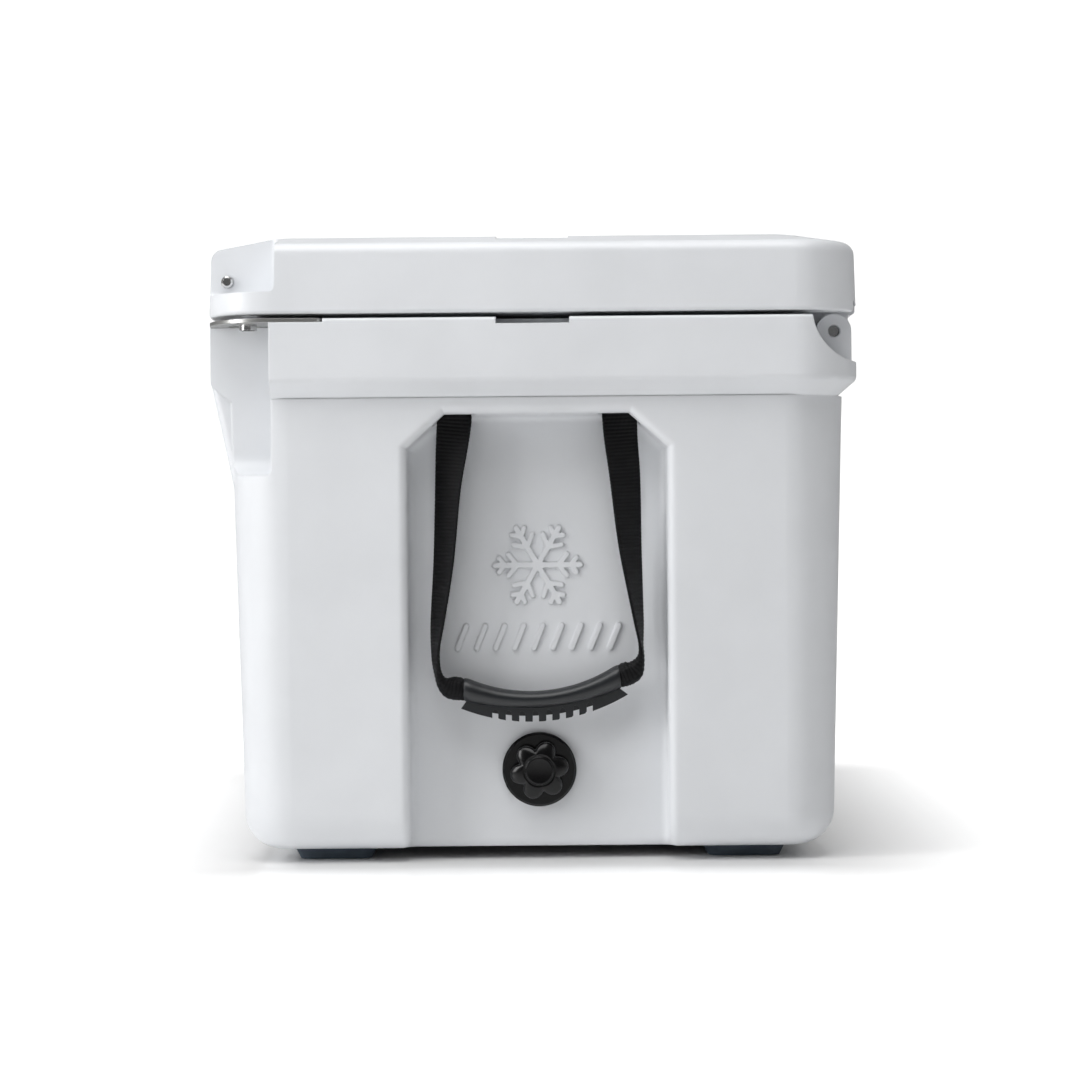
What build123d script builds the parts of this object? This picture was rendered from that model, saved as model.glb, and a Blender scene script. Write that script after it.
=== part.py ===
"""A rotomoulded cooler chest: foam-filled double-wall body and lid, rod hinge along the rear,
rubber latches and steel padlock plates at the front corners, a webbing carry handle in a
recess at each end, a screw-in drain plug and four rubber feet.

Frame: +Z up, X along the length, -Y the front (latches), +Y the rear (hinge). The origin is
under the middle of the chest, on the surface that the feet stand on. Sizes in millimetres.
"""

import os
from math import asin, atan2, cos, degrees, hypot, radians, sin, sqrt, tan

from build123d import *

os.makedirs("parts", exist_ok=True)

# Overall sizes of the mouldings
length = 700.0  # lid and rim, along X
depth = 440.0  # lid and rim, along Y
corner_radius = 44.0
foot_height = 8.0
body_height = 358.0  # underside to rim top
rim_height = 42.0  # straight band of the rim
rim_block = 26.0  # solid moulding at the top of the rim
rim_underside = 11.0  # height of the sloped surface below that band
rim_low_round = 5.0
rim_top_round = 2.5
end_setback = 12.0  # walls stand this far inside the rim
front_setback = 13.0
rear_setback = 9.0
wall_draft = 1.55  # degrees
base_round = 25.0
end_wall = 70.0  # rim's outer face to the cavity, at the ends
side_wall = 57.0  # the same at the front and rear
cavity_radius = 40.0
floor_thickness = 42.0
cavity_draft = 1.2
skin = 4.5
foam_gap = 0.15

# Lid
lid_gap = 3.0  # parting gap between rim and lid
lid_side_height = 46.5
lid_rise = 10.0  # raised centre above the lid's shoulder
lid_rise_inset = 55.0
lid_draft = 1.6
plug_depth = 13.0  # inner panel that reaches into the cavity
plug_clearance = 4.0
relief_height = 1.5
notch_width = 49.0  # shallow notch in the middle of each end of rim and lid
rim_notch_depth = 4.5
lid_notch_depth = 4.0
gasket_width = 12.0
gasket_inset = 8.0  # from the cavity's edge to the gasket
gasket_groove = 5.0
seal_gap = 0.3

# Rod hinge
hinge_inset = 16.5  # from the lid's rear face to the rod's axis
hinge_drop = 9.5  # from the rim top down to the rod's axis
rod_radius = 4.0
knuckle_radius = 11.8
knuckle_width = 20.0
end_knuckle_inset = 28.0
inner_knuckle_x = 108.0
knuckle_side_gap = 0.6
knuckle_clearance = 0.8
running_clearance = 0.05
rod_recess = 4.0  # the rod's ends lie this far inside the end knuckles

# Carry handle recesses
recess_depth = 34.0  # behind the wall's upper edge
recess_half_width = 87.5
recess_top_half_width = 62.0
recess_corner_height = 23.0
recess_drop = 64.0  # rim top to the recess's upper edge
recess_edge_round = 6.0
relief_drop = 102.0  # recess's upper edge to the middle of the snowflake
webbing_width = 24.0
webbing_thickness = 2.4
webbing_spacing = 112.0  # between the two legs where they enter the body
webbing_drop = 181.0  # from the swing axis to the grip's lowest line
leg_bulge = 13.5  # how far each leg stands out from its root, low down
strap_slot_height = 24.0
strap_slot_depth = 15.0
strap_pin_radius = 3.0
soft_gap = 0.4
pivot_below_edge = 10.0  # clear of the recess's bevelled corners as the handle swings up
grip_chord = 112.0
grip_arc_radius = 156.0
grip_tube_radius = 9.2
grip_bore_radius = 4.8
grip_fin_depth = 12.5  # below the tube's centre line
grip_fin_thickness = 8.0
grip_slots = 8
grip_slot_width = 3.7
grip_slot_pitch = 9.2
grip_slot_depth = 5.0
grip_tilt = 4.0  # degrees, lower at the front as it hangs

# Latches and padlock corners at the front
corner_cut_length = 44.0  # along X from the end
corner_cut_depth = 48.0  # along Y from the front, in the lid
channel_depth = 44.0  # along Y from the front, in the body
channel_height = 104.0  # below the rim top
lock_tab_height = 15.0
latch_inset = 92.0  # from the lid's end to the latch's middle
latch_width = 38.0
latch_side_gap = 1.5
latch_pin_inset = 12.3
latch_pin_height = 25.4  # above the lid's underside
latch_pin_radius = 4.0
pin_proud = 4.0  # the latch pin's end stands this far out of the corner cut
latch_barrel_radius = 9.5
latch_reach = 80.4  # pin to T-bar
latch_thickness = 9.0
tee_overhang = 8.0  # of the T-bar, past the latch's sides
tee_radius = 6.0
latch_notch_top = 13.0  # above the pin
keeper_gap = 1.4
keeper_height = 9.0
tee_side_gap = 3.0  # each side of the T-bar in its recess
latch_recess_floor = 20.0  # behind the wall's upper edge
latch_recess_drop = 82.0  # below the rim top
pad_margin = 16.0  # of the front pad, each side of the latch recess
pad_drop = 127.0  # rim top to the pad's lower end
pad_round = 5.0
pad_toe = 5.0  # the pad's lower end lies this far behind the wall's upper edge
plate_thickness = 2.5
plate_length = 79.0
plate_width = 48.0
lock_hole_radius = 4.75
lock_hole_inset_x = 21.0
lock_hole_inset_y = 28.5
bush_wall = 1.2
bush_length = 6.5
screw_radius = 2.4
screw_head_radius = 4.6
screw_length = 12.0
screw_cross_reach = 2.6  # half of each slot of the cross
screw_cross_half = 0.5
screw_cross_depth = 1.1

# Drain
drain_height = 61.0
drain_flange_radius = 25.2
drain_flange_thickness = 4.6
drain_tube_radius = 10.5
drain_bore_radius = 7.6
drain_seal_thickness = 2.0
drain_nut_radius = 17.0
drain_nut_thickness = 7.0
knob_radius = 20.1
knob_lobe_radius = 4.2
knob_lobes = 6
knob_thickness = 8.0
knob_cap_radius = 10.9
knob_cap_height = 3.0
knob_seal_thickness = 1.6
knob_turn = 11.0  # degrees, how the knob happens to stand
knob_shank_length = 20.0

# Feet
foot_width = 57.0
foot_length = 80.0
foot_taper = 4.0
foot_end_gap = 4.0  # behind the handle recess, so that no foot shows in it
foot_inset_y = 80.0  # from the rim's front or rear face to a foot's middle
foot_pocket = 3.0
foot_screw_spacing = 44.0
foot_bore_radius = 6.0
foot_bore_depth = 5.0

# Heights and places that follow from the sizes above
underside_z = foot_height
rim_top_z = underside_z + body_height
rim_low_z = rim_top_z - rim_height
wall_top_z = rim_low_z - rim_underside
floor_z = underside_z + floor_thickness
lid_low_z = rim_top_z + lid_gap
lid_shoulder_z = lid_low_z + lid_side_height
lid_top_z = lid_shoulder_z + lid_rise
wall_front_y = -depth / 2 + front_setback
wall_rear_y = depth / 2 - rear_setback
wall_mid_y = (wall_front_y + wall_rear_y) / 2
wall_end_x = length / 2 - end_setback
hinge_y = depth / 2 - hinge_inset
hinge_z = rim_top_z - hinge_drop
recess_x = wall_end_x - recess_depth
recess_top_z = rim_top_z - recess_drop
relief_z = recess_top_z - relief_drop
cavity_length = length - 2 * end_wall
cavity_depth = depth - 2 * side_wall
drain_seat_x = cavity_length / 2 - 4.0  # flat seat in the sump that the drain nut bears on
strap_x = recess_x + 16.0
pivot_z = recess_top_z - pivot_below_edge
strap_pin_z = recess_top_z + 0.65 * strap_slot_height
rod_hole_radius = rod_radius + running_clearance
corner_cut_x = length / 2 - corner_cut_length
latch_pin_y = -depth / 2 + latch_pin_inset
latch_pin_z = lid_low_z + latch_pin_height
tee_z = latch_pin_z - latch_reach
latch_floor_y = wall_front_y + latch_recess_floor
latch_x = length / 2 - latch_inset
tee_width = latch_width + 2 * tee_overhang
latch_recess_width = tee_width + 2 * tee_side_gap
pad_width = latch_recess_width + 2 * pad_margin
pad_taper_z = rim_top_z - pad_drop
plate_low_z = rim_top_z - plate_thickness
lock_hole_x = length / 2 - lock_hole_inset_x
lock_hole_y = -depth / 2 + lock_hole_inset_y
plate_screws = [
    (length / 2 - 14.0, -depth / 2 + plate_length - 12.0),
    (length / 2 - plate_width + 12.0, -depth / 2 + plate_length - 12.0),
]
foot_x = recess_x - foot_end_gap - foot_length / 2
foot_y = depth / 2 - foot_inset_y
foot_places = {
    "front_right": (foot_x, wall_mid_y - foot_y),
    "front_left": (-foot_x, wall_mid_y - foot_y),
    "rear_right": (foot_x, wall_mid_y + foot_y),
    "rear_left": (-foot_x, wall_mid_y + foot_y),
}
foot_screw_rows = (-foot_screw_spacing / 2, foot_screw_spacing / 2)
foot_screw_length = foot_height + 10.0
sides = {"right": 1, "left": -1}
lid_corner_reach = hypot(hinge_inset, lid_low_z - hinge_z)  # rod axis to the lid's lower rear edge
scoop_radius = lid_corner_reach + knuckle_radius + knuckle_clearance
scoop_below = sqrt(scoop_radius**2 - (hinge_inset - knuckle_radius) ** 2)  # under the knuckle's rear side
neck_reach = scoop_below - (lid_low_z - hinge_z)  # from the rod's axis down to the scoop
relief_radius = hypot(knuckle_radius, neck_reach) + knuckle_clearance
above = lid_top_z + 20.0  # well above the chest, for through cuts


def block(x_ends, y_ends, z_ends, mode=Mode.ADD):
    """A box between pairs of coordinates, in either order."""
    middle = [sum(ends) / 2 for ends in (x_ends, y_ends, z_ends)]
    size = [abs(ends[1] - ends[0]) for ends in (x_ends, y_ends, z_ends)]
    with Locations(tuple(middle)):
        return Box(*size, mode=mode)


def rod(start, direction, radius, reach, mode=Mode.ADD):
    """A round bar that starts at a point and runs along a direction."""
    with Locations(Plane(origin=start, z_dir=direction)):
        return Cylinder(radius, reach, align=(Align.CENTER, Align.CENTER, Align.MIN), mode=mode)


def outline(z, x_half, y_front, y_rear, radius):
    """The moulding's rounded plan at one height."""
    with BuildSketch(Plane.XY.offset(z)) as plan:
        with Locations((0, (y_front + y_rear) / 2)):
            RectangleRounded(2 * x_half, y_rear - y_front, radius)
    return plan.sketch


def wall_plan(z, inset=0.0):
    """The plan of the body's drafted outer walls, shrunk by an inset."""
    lean = (wall_top_z - z) * tan(radians(wall_draft)) + inset
    return outline(z, wall_end_x - lean, wall_front_y + lean, wall_rear_y - lean, corner_radius - 2 - inset)


def rim_plan(z, inset=0.0):
    """The plan shared by the rim and the lid, shrunk by an inset."""
    radius = max(corner_radius - inset, 6.0)
    return outline(z, length / 2 - inset, -depth / 2 + inset, depth / 2 - inset, radius)


def cavity(grow):
    """The inside of the chest, grown on every side."""
    x_half = cavity_length / 2 + grow
    y_half = cavity_depth / 2 + grow
    with BuildPart() as inside:
        top = outline(rim_top_z, x_half, -y_half, y_half, cavity_radius + grow)
        extrude(top, amount=-(rim_top_z - floor_z + grow), taper=cavity_draft)
        fillet(inside.faces().sort_by(Axis.Z)[0].edges(), 18.0 + grow)
        extrude(top, amount=1.0)
    return inside.part


def recess(side, grow):
    """The open-bottomed pocket in an end wall that holds the carry handle."""
    half = recess_half_width + grow
    top_half = recess_top_half_width + grow / 2
    top_z = recess_top_z + grow
    shoulder_z = top_z - recess_corner_height
    low_z = underside_z - 20.0
    back_x = side * (recess_x - grow)
    with BuildPart() as pocket:
        with BuildSketch(Plane.YZ.offset(back_x)) as face:
            with BuildLine():
                Polyline(
                    (wall_mid_y - half, low_z),
                    (wall_mid_y - half, shoulder_z),
                    (wall_mid_y - top_half, top_z),
                    (wall_mid_y + top_half, top_z),
                    (wall_mid_y + half, shoulder_z),
                    (wall_mid_y + half, low_z),
                    close=True,
                )
            make_face()
        extrude(face.sketch, amount=side * 60.0)
        fillet(pocket.faces().filter_by(Axis.X).sort_by(Axis.X)[0 if side > 0 else -1].edges(), 5.0)
    return pocket.part


def latch_recess(side, grow):
    """The pocket in the front wall and rim that a latch hangs in."""
    half = latch_recess_width / 2 + grow
    with BuildPart() as pocket:
        block(
            (side * latch_x - half, side * latch_x + half),
            (-depth / 2 - 10, latch_floor_y + grow),
            (rim_top_z - latch_recess_drop - grow, rim_top_z + 10),
        )
        fillet(pocket.edges().filter_by(Axis.X).group_by(Axis.Z)[0].sort_by(Axis.Y)[-1:], 12.0)
    return pocket.part


def channel(side, grow):
    """The upright channel at a front corner that leaves room for a padlock."""
    inner_end = 0 if side > 0 else -1
    with BuildPart() as slot:
        block(
            (side * (corner_cut_x - grow), side * (length / 2 + 10)),
            (-depth / 2 - 10, -depth / 2 + channel_depth + grow),
            (rim_top_z - channel_height - grow, rim_top_z + 10),
        )
        low = slot.edges().filter_by(Axis.Y).group_by(Axis.Z)[0].group_by(Axis.X)[inner_end]
        fillet(low, 16.0)
        upright = slot.edges().filter_by(Axis.Z).group_by(Axis.X)[inner_end].sort_by(Axis.Y)[-1:]
        fillet(upright, 4.0)
    return slot.part


def knuckle_places():
    """Middle of each body knuckle along X."""
    outer = length / 2 - end_knuckle_inset - knuckle_width / 2
    return (-outer, -inner_knuckle_x, inner_knuckle_x, outer)


def drain_well(grow):
    """The sump in the cavity's floor, with a flat seat for the drain nut."""
    half = drain_nut_radius + 2.0 + grow
    with BuildPart() as well:
        block(
            (drain_seat_x - 30.0 - grow, drain_seat_x + grow),
            (wall_mid_y - half, wall_mid_y + half),
            (drain_height - half, drain_height + half),
        )
    return well.part


def body_core(inset):
    """The space between the body's skins, a given distance inside them."""
    top_z = rim_top_z - rim_block - inset
    low_z = underside_z + foot_pocket + inset
    bevel = 18.0
    with BuildPart() as core:
        top = wall_plan(wall_top_z, inset)
        extrude(top, amount=-(wall_top_z - low_z), taper=wall_draft)
        chamfer(core.faces().sort_by(Axis.Z)[0].edges(), bevel)
        extrude(top, amount=top_z - wall_top_z)
        add(cavity(inset), mode=Mode.SUBTRACT)
        add(drain_well(inset), mode=Mode.SUBTRACT)
        for side in (1, -1):
            add(recess(side, inset), mode=Mode.SUBTRACT)
            add(latch_recess(side, inset), mode=Mode.SUBTRACT)
            add(channel(side, inset), mode=Mode.SUBTRACT)
            for leg in (-1, 1):
                leg_y = wall_mid_y + leg * webbing_spacing / 2
                reach = webbing_width / 2 + 9.0 + inset
                block(
                    (side * (strap_x - strap_slot_depth / 2 - inset), side * (wall_end_x + 10)),
                    (leg_y - reach, leg_y + reach),
                    (recess_top_z - 10, recess_top_z + strap_slot_height + inset),
                    mode=Mode.SUBTRACT,
                )
        scoop_room = scoop_radius + inset
        rod((-length / 2, depth / 2, lid_low_z), (1, 0, 0), scoop_room, length, mode=Mode.SUBTRACT)
        drain_room = drain_tube_radius + 1.0 + inset
        rod((drain_seat_x, wall_mid_y, drain_height), (1, 0, 0), drain_room, length, mode=Mode.SUBTRACT)
        for foot_mid in foot_places.values():
            for row in foot_screw_rows:
                spot = (foot_mid[0] + row, foot_mid[1], 0)
                reach = foot_screw_length + 4 + inset
                rod(spot, (0, 0, 1), screw_radius + inset, reach, mode=Mode.SUBTRACT)
    return core.part


def snowflake(side, middle_y, middle_z, reach):
    """A raised six-armed snowflake on a recess wall."""
    with BuildPart() as flake:
        with BuildSketch(Plane.YZ.offset(side * (recess_x - 0.5))) as drawing:
            with Locations((middle_y, middle_z)):
                with PolarLocations(0, 6):
                    with Locations((reach / 2, 0)):
                        SlotOverall(reach, 4.0)
                    for along, span in ((0.45, 0.36), (0.72, 0.26)):
                        for turn in (50, -50):
                            with Locations(Location((reach * along, 0, 0), (0, 0, turn))):
                                with Locations((reach * span / 2, 0)):
                                    SlotOverall(reach * span, 3.4)
        extrude(drawing.sketch, amount=side * (relief_height + 0.5))
    return flake.part


def wave_bars(side, middle_y, middle_z, count, pitch):
    """A raised row of short slanted bars under the snowflake."""
    with BuildPart() as bars:
        with BuildSketch(Plane.YZ.offset(side * (recess_x - 0.5))) as drawing:
            with Locations((middle_y, middle_z)):
                with GridLocations(pitch, 1, count, 1):
                    SlotOverall(20.0, 3.6, rotation=68)
        extrude(drawing.sketch, amount=side * (relief_height + 0.5))
    return bars.part


# Body: one hollow moulding, with the foam space inside it
with BuildPart() as body_shell:
    extrude(wall_plan(wall_top_z), amount=-(wall_top_z - underside_z), taper=wall_draft)
    fillet(body_shell.faces().sort_by(Axis.Z)[0].edges(), base_round)
    for side in (1, -1):
        add(recess(side, 0.0), mode=Mode.SUBTRACT)
    mouth = [
        edge
        for edge in body_shell.edges()
        if abs(edge.center().Y - wall_mid_y) < recess_half_width + 0.5
        and min(abs(corner.X) for corner in edge.vertices()) > recess_x + 6.0
        and edge.center().Z < wall_top_z - 2.0
    ]
    fillet(mouth, recess_edge_round)

    # the rim, with its sloped underside
    with BuildPart(mode=Mode.PRIVATE) as rim:
        extrude(rim_plan(rim_low_z), amount=rim_height)
        rim_slope = degrees(atan2(max(front_setback, end_setback, rear_setback), rim_underside))
        extrude(rim_plan(rim_low_z), amount=-rim_underside, taper=rim_slope)
        fillet(rim.edges().filter_by_position(Axis.Z, rim_low_z - 0.1, rim_low_z + 0.1), rim_low_round)
        fillet(rim.faces().sort_by(Axis.Z)[-1].edges(), rim_top_round)
    add(rim.part)

    # front pads that carry the latch keepers, tapering down into the wall
    for side in (1, -1):
        with BuildPart(mode=Mode.PRIVATE) as pad:
            with BuildSketch(Plane.YZ.offset(side * latch_x - pad_width / 2)) as profile:
                with BuildLine():
                    Polyline(
                        (-depth / 2, rim_low_z + rim_low_round),
                        (-depth / 2, rim_low_z),
                        (wall_front_y + pad_toe, pad_taper_z),
                        (wall_front_y + 20, pad_taper_z),
                        (wall_front_y + 20, rim_low_z + rim_low_round),
                        close=True,
                    )
                make_face()
            extrude(profile.sketch, amount=pad_width)
            upright = pad.edges().filter_by(Axis.X, reverse=True)
            upright = upright.filter_by_position(Axis.Y, -depth, wall_front_y + pad_toe)
            fillet(upright.filter_by_position(Axis.Z, pad_taper_z, rim_low_z - 1.0), pad_round)
        add(pad.part)

    # rear scoop that clears the lid's edge as it opens, and the hinge knuckles in it
    rod((-length / 2 - 1, depth / 2, lid_low_z), (1, 0, 0), scoop_radius, length + 2, mode=Mode.SUBTRACT)
    for place in knuckle_places():
        low_x = place - knuckle_width / 2
        rod((low_x, hinge_y, hinge_z), (1, 0, 0), knuckle_radius, knuckle_width)
        block(
            (low_x, low_x + knuckle_width),
            (hinge_y - knuckle_radius, hinge_y + knuckle_radius),
            (hinge_z, hinge_z - neck_reach - 5),
        )
    rod((-length / 2, hinge_y, hinge_z), (1, 0, 0), rod_hole_radius, length, mode=Mode.SUBTRACT)

    # cavity, padlock channels, latch recesses and their keepers
    add(cavity(0.0), mode=Mode.SUBTRACT)
    add(drain_well(0.0), mode=Mode.SUBTRACT)
    for side in (1, -1):
        add(channel(side, 0.0), mode=Mode.SUBTRACT)
        add(latch_recess(side, 0.0), mode=Mode.SUBTRACT)
        for edge_side in (-1, 1):
            wall_x = side * latch_x + edge_side * latch_recess_width / 2
            keeper_low_z = tee_z + tee_radius + keeper_gap
            block(
                (wall_x, wall_x - edge_side * (latch_recess_width - latch_width - 4.0) / 2),
                (latch_floor_y, latch_pin_y + tee_radius + keeper_gap),
                (keeper_low_z, keeper_low_z + keeper_height),
            )
        # notch in the middle of the end rim
        block(
            (side * (length / 2 - 20), side * (length / 2 + 5)),
            (-notch_width / 2, notch_width / 2),
            (rim_top_z - rim_notch_depth, rim_top_z + 5),
            mode=Mode.SUBTRACT,
        )
        # step that the padlock plate lies in, and its screw holes
        block(
            (side * (length / 2 - plate_width - 1), side * (length / 2 + 5)),
            (-depth / 2 - 5, -depth / 2 + plate_length + 1),
            (plate_low_z - 0.1, rim_top_z + 5),
            mode=Mode.SUBTRACT,
        )
        for screw_x, screw_y in plate_screws:
            spot = (side * screw_x, screw_y, rim_top_z - screw_length - 1)
            rod(spot, (0, 0, 1), screw_radius + 0.1, screw_length + 2, mode=Mode.SUBTRACT)
        # slots above the recess that the webbing runs up into, and the pins that hold it
        for leg in (-1, 1):
            leg_y = wall_mid_y + leg * webbing_spacing / 2
            half = webbing_width / 2 + 2.0
            block(
                (side * (strap_x - strap_slot_depth / 2), side * (strap_x + strap_slot_depth / 2)),
                (leg_y - half, leg_y + half),
                (recess_top_z - 14, recess_top_z + strap_slot_height),
                mode=Mode.SUBTRACT,
            )
            spot = (side * strap_x, leg_y - half - 5, strap_pin_z)
            rod(spot, (0, 1, 0), strap_pin_radius + 0.05, 2 * half + 10, mode=Mode.SUBTRACT)
        add(snowflake(side, wall_mid_y, relief_z, 31.0))
        add(wave_bars(side, wall_mid_y, relief_z - 49.0, 9, 13.0))
    # drain hole, seats of the feet and their screw holes
    drain_start = (drain_seat_x - 1, wall_mid_y, drain_height)
    rod(drain_start, (1, 0, 0), drain_tube_radius + 0.2, length, mode=Mode.SUBTRACT)
    for foot_mid in foot_places.values():
        with BuildSketch(Plane.XY.offset(underside_z)) as seat:
            with Locations(foot_mid):
                RectangleRounded(foot_length + 0.6, foot_width + 0.6, 12.3)
        extrude(seat.sketch, amount=foot_pocket, mode=Mode.SUBTRACT)
        for row in foot_screw_rows:
            spot = (foot_mid[0] + row, foot_mid[1], 0)
            rod(spot, (0, 0, 1), screw_radius + 0.05, foot_screw_length + 1, mode=Mode.SUBTRACT)
    add(body_core(skin), mode=Mode.SUBTRACT)

# The moulding's inner skin below the rim, as a node of its own: the tub that holds the ice
with BuildPart() as tub:
    add(cavity(skin))
    add(drain_well(skin))
    block(
        (-length / 2, length / 2),
        (-depth / 2, depth / 2),
        (underside_z, rim_top_z - rim_block - skin),
        mode=Mode.INTERSECT,
    )
with BuildPart() as body_liner:
    add(body_shell.part)
    add(tub.part, mode=Mode.INTERSECT)
body_liner.part.label = "body_liner"
export_step(body_liner.part, "parts/body_liner.step")
with BuildPart() as body_outer:
    add(body_shell.part)
    add(tub.part, mode=Mode.SUBTRACT)
body_outer.part.label = "body_shell"
export_step(body_outer.part, "parts/body_shell.step")

# Foam that fills the space between the body's skins
foam = body_core(skin + foam_gap)
foam.label = "body_foam"
export_step(foam, "parts/body_foam.step")


def lid_core(inset):
    """The space inside the lid, a given distance inside its skins."""
    low_z = lid_low_z + gasket_groove + inset
    top_z = lid_top_z - inset
    plug_low_z = lid_low_z - plug_depth + inset
    main_y = cavity_depth / 2 + gasket_inset - inset
    main_x = cavity_length / 2 + gasket_inset + gasket_width - inset
    with BuildPart() as core:
        extrude(outline(low_z, main_x, -main_y, main_y, 24.0), amount=top_z - low_z)
        plug_x = cavity_length / 2 - plug_clearance - inset - 3.0
        plug_y = cavity_depth / 2 - plug_clearance - inset - 3.0
        extrude(outline(plug_low_z, plug_x, -plug_y, plug_y, 28.0), amount=low_z - plug_low_z)
        for side in (1, -1):
            block(
                (side * (length / 2 - lid_rise_inset - 12 - inset), side * length / 2),
                (-notch_width / 2 - inset, notch_width / 2 + inset),
                (lid_top_z - lid_notch_depth - inset, above),
                mode=Mode.SUBTRACT,
            )
    return core.part


# Lid shell
with BuildPart() as lid_shell:
    extrude(rim_plan(lid_low_z), amount=lid_side_height, taper=lid_draft)
    shoulder_inset = lid_side_height * tan(radians(lid_draft))
    slope = degrees(atan2(lid_rise_inset - shoulder_inset, lid_rise))
    extrude(rim_plan(lid_shoulder_z, shoulder_inset), amount=lid_rise, taper=slope)
    shoulder = lid_shell.edges().filter_by_position(Axis.Z, lid_shoulder_z - 0.1, lid_shoulder_z + 0.1)
    fillet(shoulder, 8.5)
    fillet(lid_shell.faces().sort_by(Axis.Z)[-1].edges(), 30.0)
    fillet(lid_shell.faces().sort_by(Axis.Z)[0].edges(), 2.5)

    # inner panel that reaches into the cavity
    plug_x = cavity_length / 2 - plug_clearance
    plug_y = cavity_depth / 2 - plug_clearance
    plug_radius = cavity_radius - plug_clearance
    extrude(outline(lid_low_z + 1, plug_x, -plug_y, plug_y, plug_radius), amount=-plug_depth - 1, taper=6)
    fillet(lid_shell.faces().sort_by(Axis.Z)[0].edges(), 4.0)

    # hinge knuckles between the body's, with room for the body's knuckles to swing past
    stops = knuckle_places()
    for low_stop, high_stop in zip(stops, stops[1:]):
        low_x = low_stop + knuckle_width / 2 + knuckle_side_gap
        reach = high_stop - low_stop - knuckle_width - 2 * knuckle_side_gap
        rod((low_x, hinge_y, hinge_z), (1, 0, 0), knuckle_radius, reach)
        block(
            (low_x, low_x + reach),
            (hinge_y - knuckle_radius, hinge_y + knuckle_radius),
            (hinge_z, lid_low_z + 3),
        )
    for place in stops:
        low_x = place - knuckle_width / 2 - knuckle_side_gap
        reach = knuckle_width + 2 * knuckle_side_gap
        rod((low_x, hinge_y, hinge_z), (1, 0, 0), relief_radius, reach, mode=Mode.SUBTRACT)
    rod((-length / 2, hinge_y, hinge_z), (1, 0, 0), rod_hole_radius, length, mode=Mode.SUBTRACT)

    for side in (1, -1):
        # front corner cut away above the padlock tab
        with BuildPart(mode=Mode.PRIVATE) as corner:
            block(
                (side * corner_cut_x, side * (length / 2 + 10)),
                (-depth / 2 - 10, -depth / 2 + corner_cut_depth),
                (lid_low_z + lock_tab_height, above),
            )
            near = corner.edges().filter_by(Axis.Z).group_by(Axis.X)[0 if side > 0 else -1]
            fillet(near.sort_by(Axis.Y)[-1:], 6.0)
            low_ring = corner.faces().sort_by(Axis.Z)[0].edges()
            inner_low = [
                edge
                for edge in low_ring
                if abs(edge.center().X) < length / 2 + 5 and edge.center().Y > -depth / 2 - 5
            ]
            fillet(inner_low, 4.0)
        add(corner.part, mode=Mode.SUBTRACT)
        tab_hole = (side * lock_hole_x, lock_hole_y, lid_low_z - 5)
        rod(tab_hole, (0, 0, 1), lock_hole_radius + 1.0, lock_tab_height + 10, mode=Mode.SUBTRACT)
        # notch that the latch hangs from, and the hole for its pin
        half = latch_width / 2 + latch_side_gap
        block(
            (side * latch_x - half, side * latch_x + half),
            (-depth / 2 - 10, latch_pin_y + latch_barrel_radius + 1.5),
            (lid_low_z - 5, latch_pin_z + latch_notch_top),
            mode=Mode.SUBTRACT,
        )
        pin_spot = (side * (latch_x - half - 14), latch_pin_y, latch_pin_z)
        rod(pin_spot, (side, 0, 0), latch_pin_radius + running_clearance, 120, mode=Mode.SUBTRACT)
        # shallow notch in the end of the raised centre
        block(
            (side * (length / 2 - lid_rise_inset - 12), side * (length / 2 + 5)),
            (-notch_width / 2, notch_width / 2),
            (lid_top_z - lid_notch_depth, above),
            mode=Mode.SUBTRACT,
        )
    # groove for the gasket
    groove_low = cavity_length / 2 + gasket_inset, cavity_depth / 2 + gasket_inset
    with BuildSketch(Plane.XY.offset(lid_low_z - 1)) as groove:
        RectangleRounded(
            2 * (groove_low[0] + gasket_width),
            2 * (groove_low[1] + gasket_width),
            cavity_radius + gasket_inset + gasket_width,
        )
        inner_radius = cavity_radius + gasket_inset
        RectangleRounded(2 * groove_low[0], 2 * groove_low[1], inner_radius, mode=Mode.SUBTRACT)
    extrude(groove.sketch, amount=gasket_groove + 1, mode=Mode.SUBTRACT)
    add(lid_core(skin), mode=Mode.SUBTRACT)
lid_shell.part.label = "lid_shell"
export_step(lid_shell.part, "parts/lid_shell.step")

foam = lid_core(skin + foam_gap)
foam.label = "lid_foam"
export_step(foam, "parts/lid_foam.step")

# Gasket: a hollow rubber bead with a flat root that sits in the lid's groove
with BuildPart() as lid_gasket:
    bead = gasket_width - 2 * seal_gap
    with BuildSketch(Plane.XY.offset(rim_top_z + seal_gap)) as ring:
        RectangleRounded(
            2 * (groove_low[0] + seal_gap + bead),
            2 * (groove_low[1] + seal_gap + bead),
            cavity_radius + gasket_inset + seal_gap + bead,
        )
        RectangleRounded(
            2 * (groove_low[0] + seal_gap),
            2 * (groove_low[1] + seal_gap),
            cavity_radius + gasket_inset + seal_gap,
            mode=Mode.SUBTRACT,
        )
    extrude(ring.sketch, amount=lid_gap + gasket_groove - seal_gap)
    low = lid_gasket.faces().sort_by(Axis.Z)[0].edges()
    chamfer(low, 1.5)
lid_gasket.part.label = "lid_gasket"
export_step(lid_gasket.part, "parts/lid_gasket.step")

# Hinge rod: one stainless bar through every knuckle, set back in the end ones
with BuildPart() as hinge_rod:
    rod_end_x = knuckle_places()[-1] + knuckle_width / 2 - rod_recess
    rod((-rod_end_x, hinge_y, hinge_z), (1, 0, 0), rod_radius, 2 * rod_end_x)
    chamfer(hinge_rod.edges().filter_by(GeomType.CIRCLE), 0.6)
hinge_rod.part.label = "hinge_rod"
export_step(hinge_rod.part, "parts/hinge_rod.step")

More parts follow.
